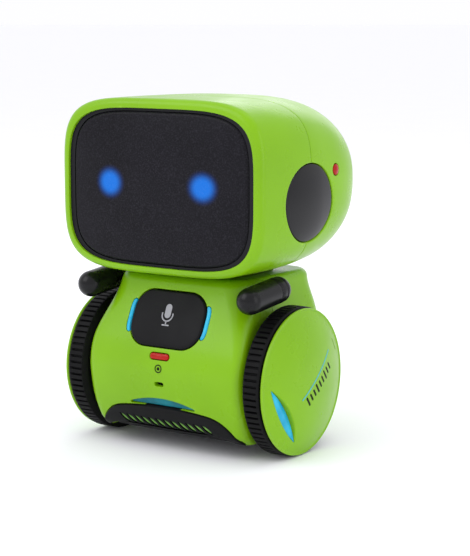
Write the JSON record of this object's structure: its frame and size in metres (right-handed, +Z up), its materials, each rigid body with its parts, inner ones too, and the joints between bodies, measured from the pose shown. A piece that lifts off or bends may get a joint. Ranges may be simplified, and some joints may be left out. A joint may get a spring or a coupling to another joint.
{
  "type": "educational toy robot",
  "caption": "Desk-size educational toy robot with a turning screen head, swinging capsule arms, two geared drive wheels, a rear roller, press buttons and a pull-off battery door.",
  "frame": {"origin": "on the ground plane, under the middle of the robot's bounding box", "axes": "+Z up, -Y is the robot's front (its screen), +X is the robot's own left side"},
  "size_m": [0.1, 0.086, 0.13],
  "materials": {
    "green_shell": "glossy moulded lime-green ABS",
    "black_satin": "fine-textured satin black ABS",
    "black_gloss": "polished piano-black ABS",
    "black_rubber": "ribbed moulded soft black rubber",
    "smoked_lens": "smoked polycarbonate window with a faint satin coat",
    "cyan_lens": "glossy cyan light insert",
    "teal_lens": "glossy teal light insert",
    "red_lens": "glossy translucent red acrylic",
    "blue_led": "diffused blue LED lens, lit",
    "white_acetal": "natural white acetal",
    "bright_steel": "bright zinc-plated steel",
    "circuit_board": "green solder mask on glass-epoxy board",
    "battery_wrap": "plain shrink-wrap film"
  },
  "bodies": {
    "torso": {"body_front_shell": "green_shell", "body_rear_shell": "green_shell", "front_light_lens": "teal_lens", "chest_light_left": "cyan_lens", "chest_light_right": "cyan_lens", "microphone": "bright_steel", "button_board": "circuit_board", "bumper_band": "black_satin", "bumper_insert": "green_shell", "base_plate": "black_satin", "speaker": "black_satin", "battery_tray": "black_satin", "battery_1": "battery_wrap", "battery_2": "battery_wrap", "battery_3": "battery_wrap", "main_board": "circuit_board", "body_screw_left": "bright_steel", "body_screw_right": "bright_steel", "neck_tube": "black_satin", "neck_bearing": "black_satin", "gear_motor_left": "bright_steel", "gear_motor_right": "bright_steel"},
    "head": {"head_front_shell": "green_shell", "head_rear_shell": "green_shell", "screen_window": "smoked_lens", "led_board": "circuit_board", "eye_led_left": "blue_led", "eye_led_right": "blue_led", "ear_disc_left": "black_gloss", "ear_disc_right": "black_gloss", "side_led_left": "red_lens", "side_led_right": "red_lens", "head_screw_left": "bright_steel", "head_screw_right": "bright_steel", "neck_collar": "black_satin"},
    "arm_left": {"arm_left": "black_satin", "arm_pin_left": "black_satin"},
    "arm_right": {"arm_right": "black_satin", "arm_pin_right": "black_satin"},
    "wheel_left": {"tyre_left": "black_rubber", "wheel_disc_left": "black_satin", "hub_cap_left": "green_shell", "hub_light_left": "cyan_lens", "axle_left": "bright_steel", "wheel_gear_left": "white_acetal"},
    "wheel_right": {"tyre_right": "black_rubber", "wheel_disc_right": "black_satin", "hub_cap_right": "green_shell", "hub_light_right": "cyan_lens", "axle_right": "bright_steel", "wheel_gear_right": "white_acetal"},
    "pinion_left": {"motor_pinion_left": "white_acetal"},
    "pinion_right": {"motor_pinion_right": "white_acetal"},
    "mic_button": {"mic_button": "black_satin"},
    "rec_button": {"rec_button": "red_lens"},
    "power_switch": {"power_switch": "black_satin"},
    "battery_door": {"battery_door": "green_shell", "door_screw": "bright_steel"},
    "rear_roller": {"rear_roller": "black_rubber"}
  },
  "joints": [
    {"name": "head_turn", "type": "hinge", "parent": "torso", "child": "head", "pos_m": [0, -0.005, 0.066], "axis": [0, 0, 1], "range_deg": [-45, 45]},
    {"name": "arm_left_swing", "type": "hinge", "parent": "torso", "child": "arm_left", "pos_m": [0.03, -0.0171, 0.0611], "axis": [1, 0, 0], "range_deg": [-10, 4]},
    {"name": "arm_right_swing", "type": "hinge", "parent": "torso", "child": "arm_right", "pos_m": [-0.03, -0.0171, 0.0611], "axis": [1, 0, 0], "range_deg": [-10, 4]},
    {"name": "wheel_left_spin", "type": "hinge", "parent": "torso", "child": "wheel_left", "pos_m": [0.04, -0.0132, 0.02745], "axis": [1, 0, 0], "continuous": true},
    {"name": "wheel_right_spin", "type": "hinge", "parent": "torso", "child": "wheel_right", "pos_m": [-0.04, -0.0132, 0.02745], "axis": [1, 0, 0], "continuous": true},
    {"name": "pinion_left_spin", "type": "hinge", "parent": "torso", "child": "pinion_left", "pos_m": [0.0277, -0.02865, 0.02331], "axis": [1, 0, 0], "continuous": true},
    {"name": "pinion_right_spin", "type": "hinge", "parent": "torso", "child": "pinion_right", "pos_m": [-0.0277, -0.02865, 0.02331], "axis": [1, 0, 0], "continuous": true},
    {"name": "mic_button_press", "type": "slide", "parent": "torso", "child": "mic_button", "axis": [0, 0.9367, -0.3502], "range_m": [0, 0.001], "stiffness_N_per_m": 400, "springref_m": -0.0006},
    {"name": "rec_button_press", "type": "slide", "parent": "torso", "child": "rec_button", "axis": [0, 0.9367, -0.3502], "range_m": [0, 0.0008], "stiffness_N_per_m": 250, "springref_m": -0.0006},
    {"name": "power_switch_slide", "type": "slide", "parent": "torso", "child": "power_switch", "axis": [1, 0, 0], "range_m": [0, 0.003]},
    {"name": "battery_door_pull", "type": "slide", "parent": "torso", "child": "battery_door", "axis": [0, 1, 0], "range_m": [0, 0.02]},
    {"name": "rear_roller_spin", "type": "hinge", "parent": "torso", "child": "rear_roller", "pos_m": [0, 0.0146, 0.0046], "axis": [1, 0, 0], "continuous": true}
  ],
  "couplings": [
    {"joint": "pinion_left_spin", "follows": "wheel_left_spin", "ratio": -3},
    {"joint": "pinion_right_spin", "follows": "wheel_right_spin", "ratio": -3}
  ]
}
